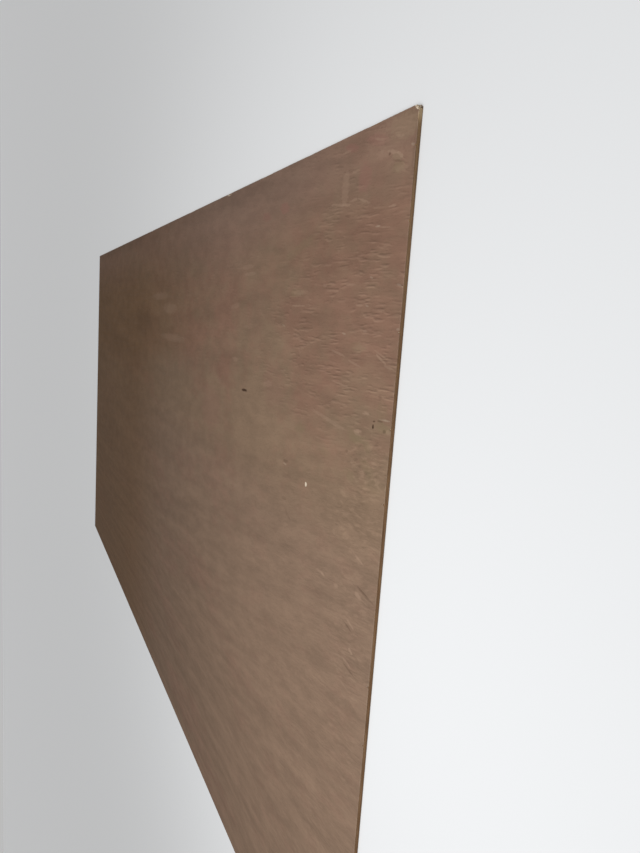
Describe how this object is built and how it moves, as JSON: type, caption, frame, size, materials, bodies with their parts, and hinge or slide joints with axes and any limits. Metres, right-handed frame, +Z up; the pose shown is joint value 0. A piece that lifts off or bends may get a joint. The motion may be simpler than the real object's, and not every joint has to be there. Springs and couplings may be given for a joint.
{
  "type": "plywood sheet",
  "caption": "Thin full-size sheet of lauan plywood with sawn edges, one knocked corner and small chips in the face veneer.",
  "frame": {"origin": "middle of the underside, on the surface that the sheet lies on", "axes": "+X along the sheet and the grain of its outer plies, away from the knocked corner; +Y across the sheet, away from the knocked corner; +Z up, out of the good face"},
  "size_m": [2.44, 1.22, 0.0052],
  "materials": {
    "lauan_plywood": "bare sanded rotary-cut lauan veneer, reddish brown with fine open pores, unfinished"
  },
  "bodies": {
    "root": {"plywood_sheet": "lauan_plywood"}
  },
  "joints": []
}
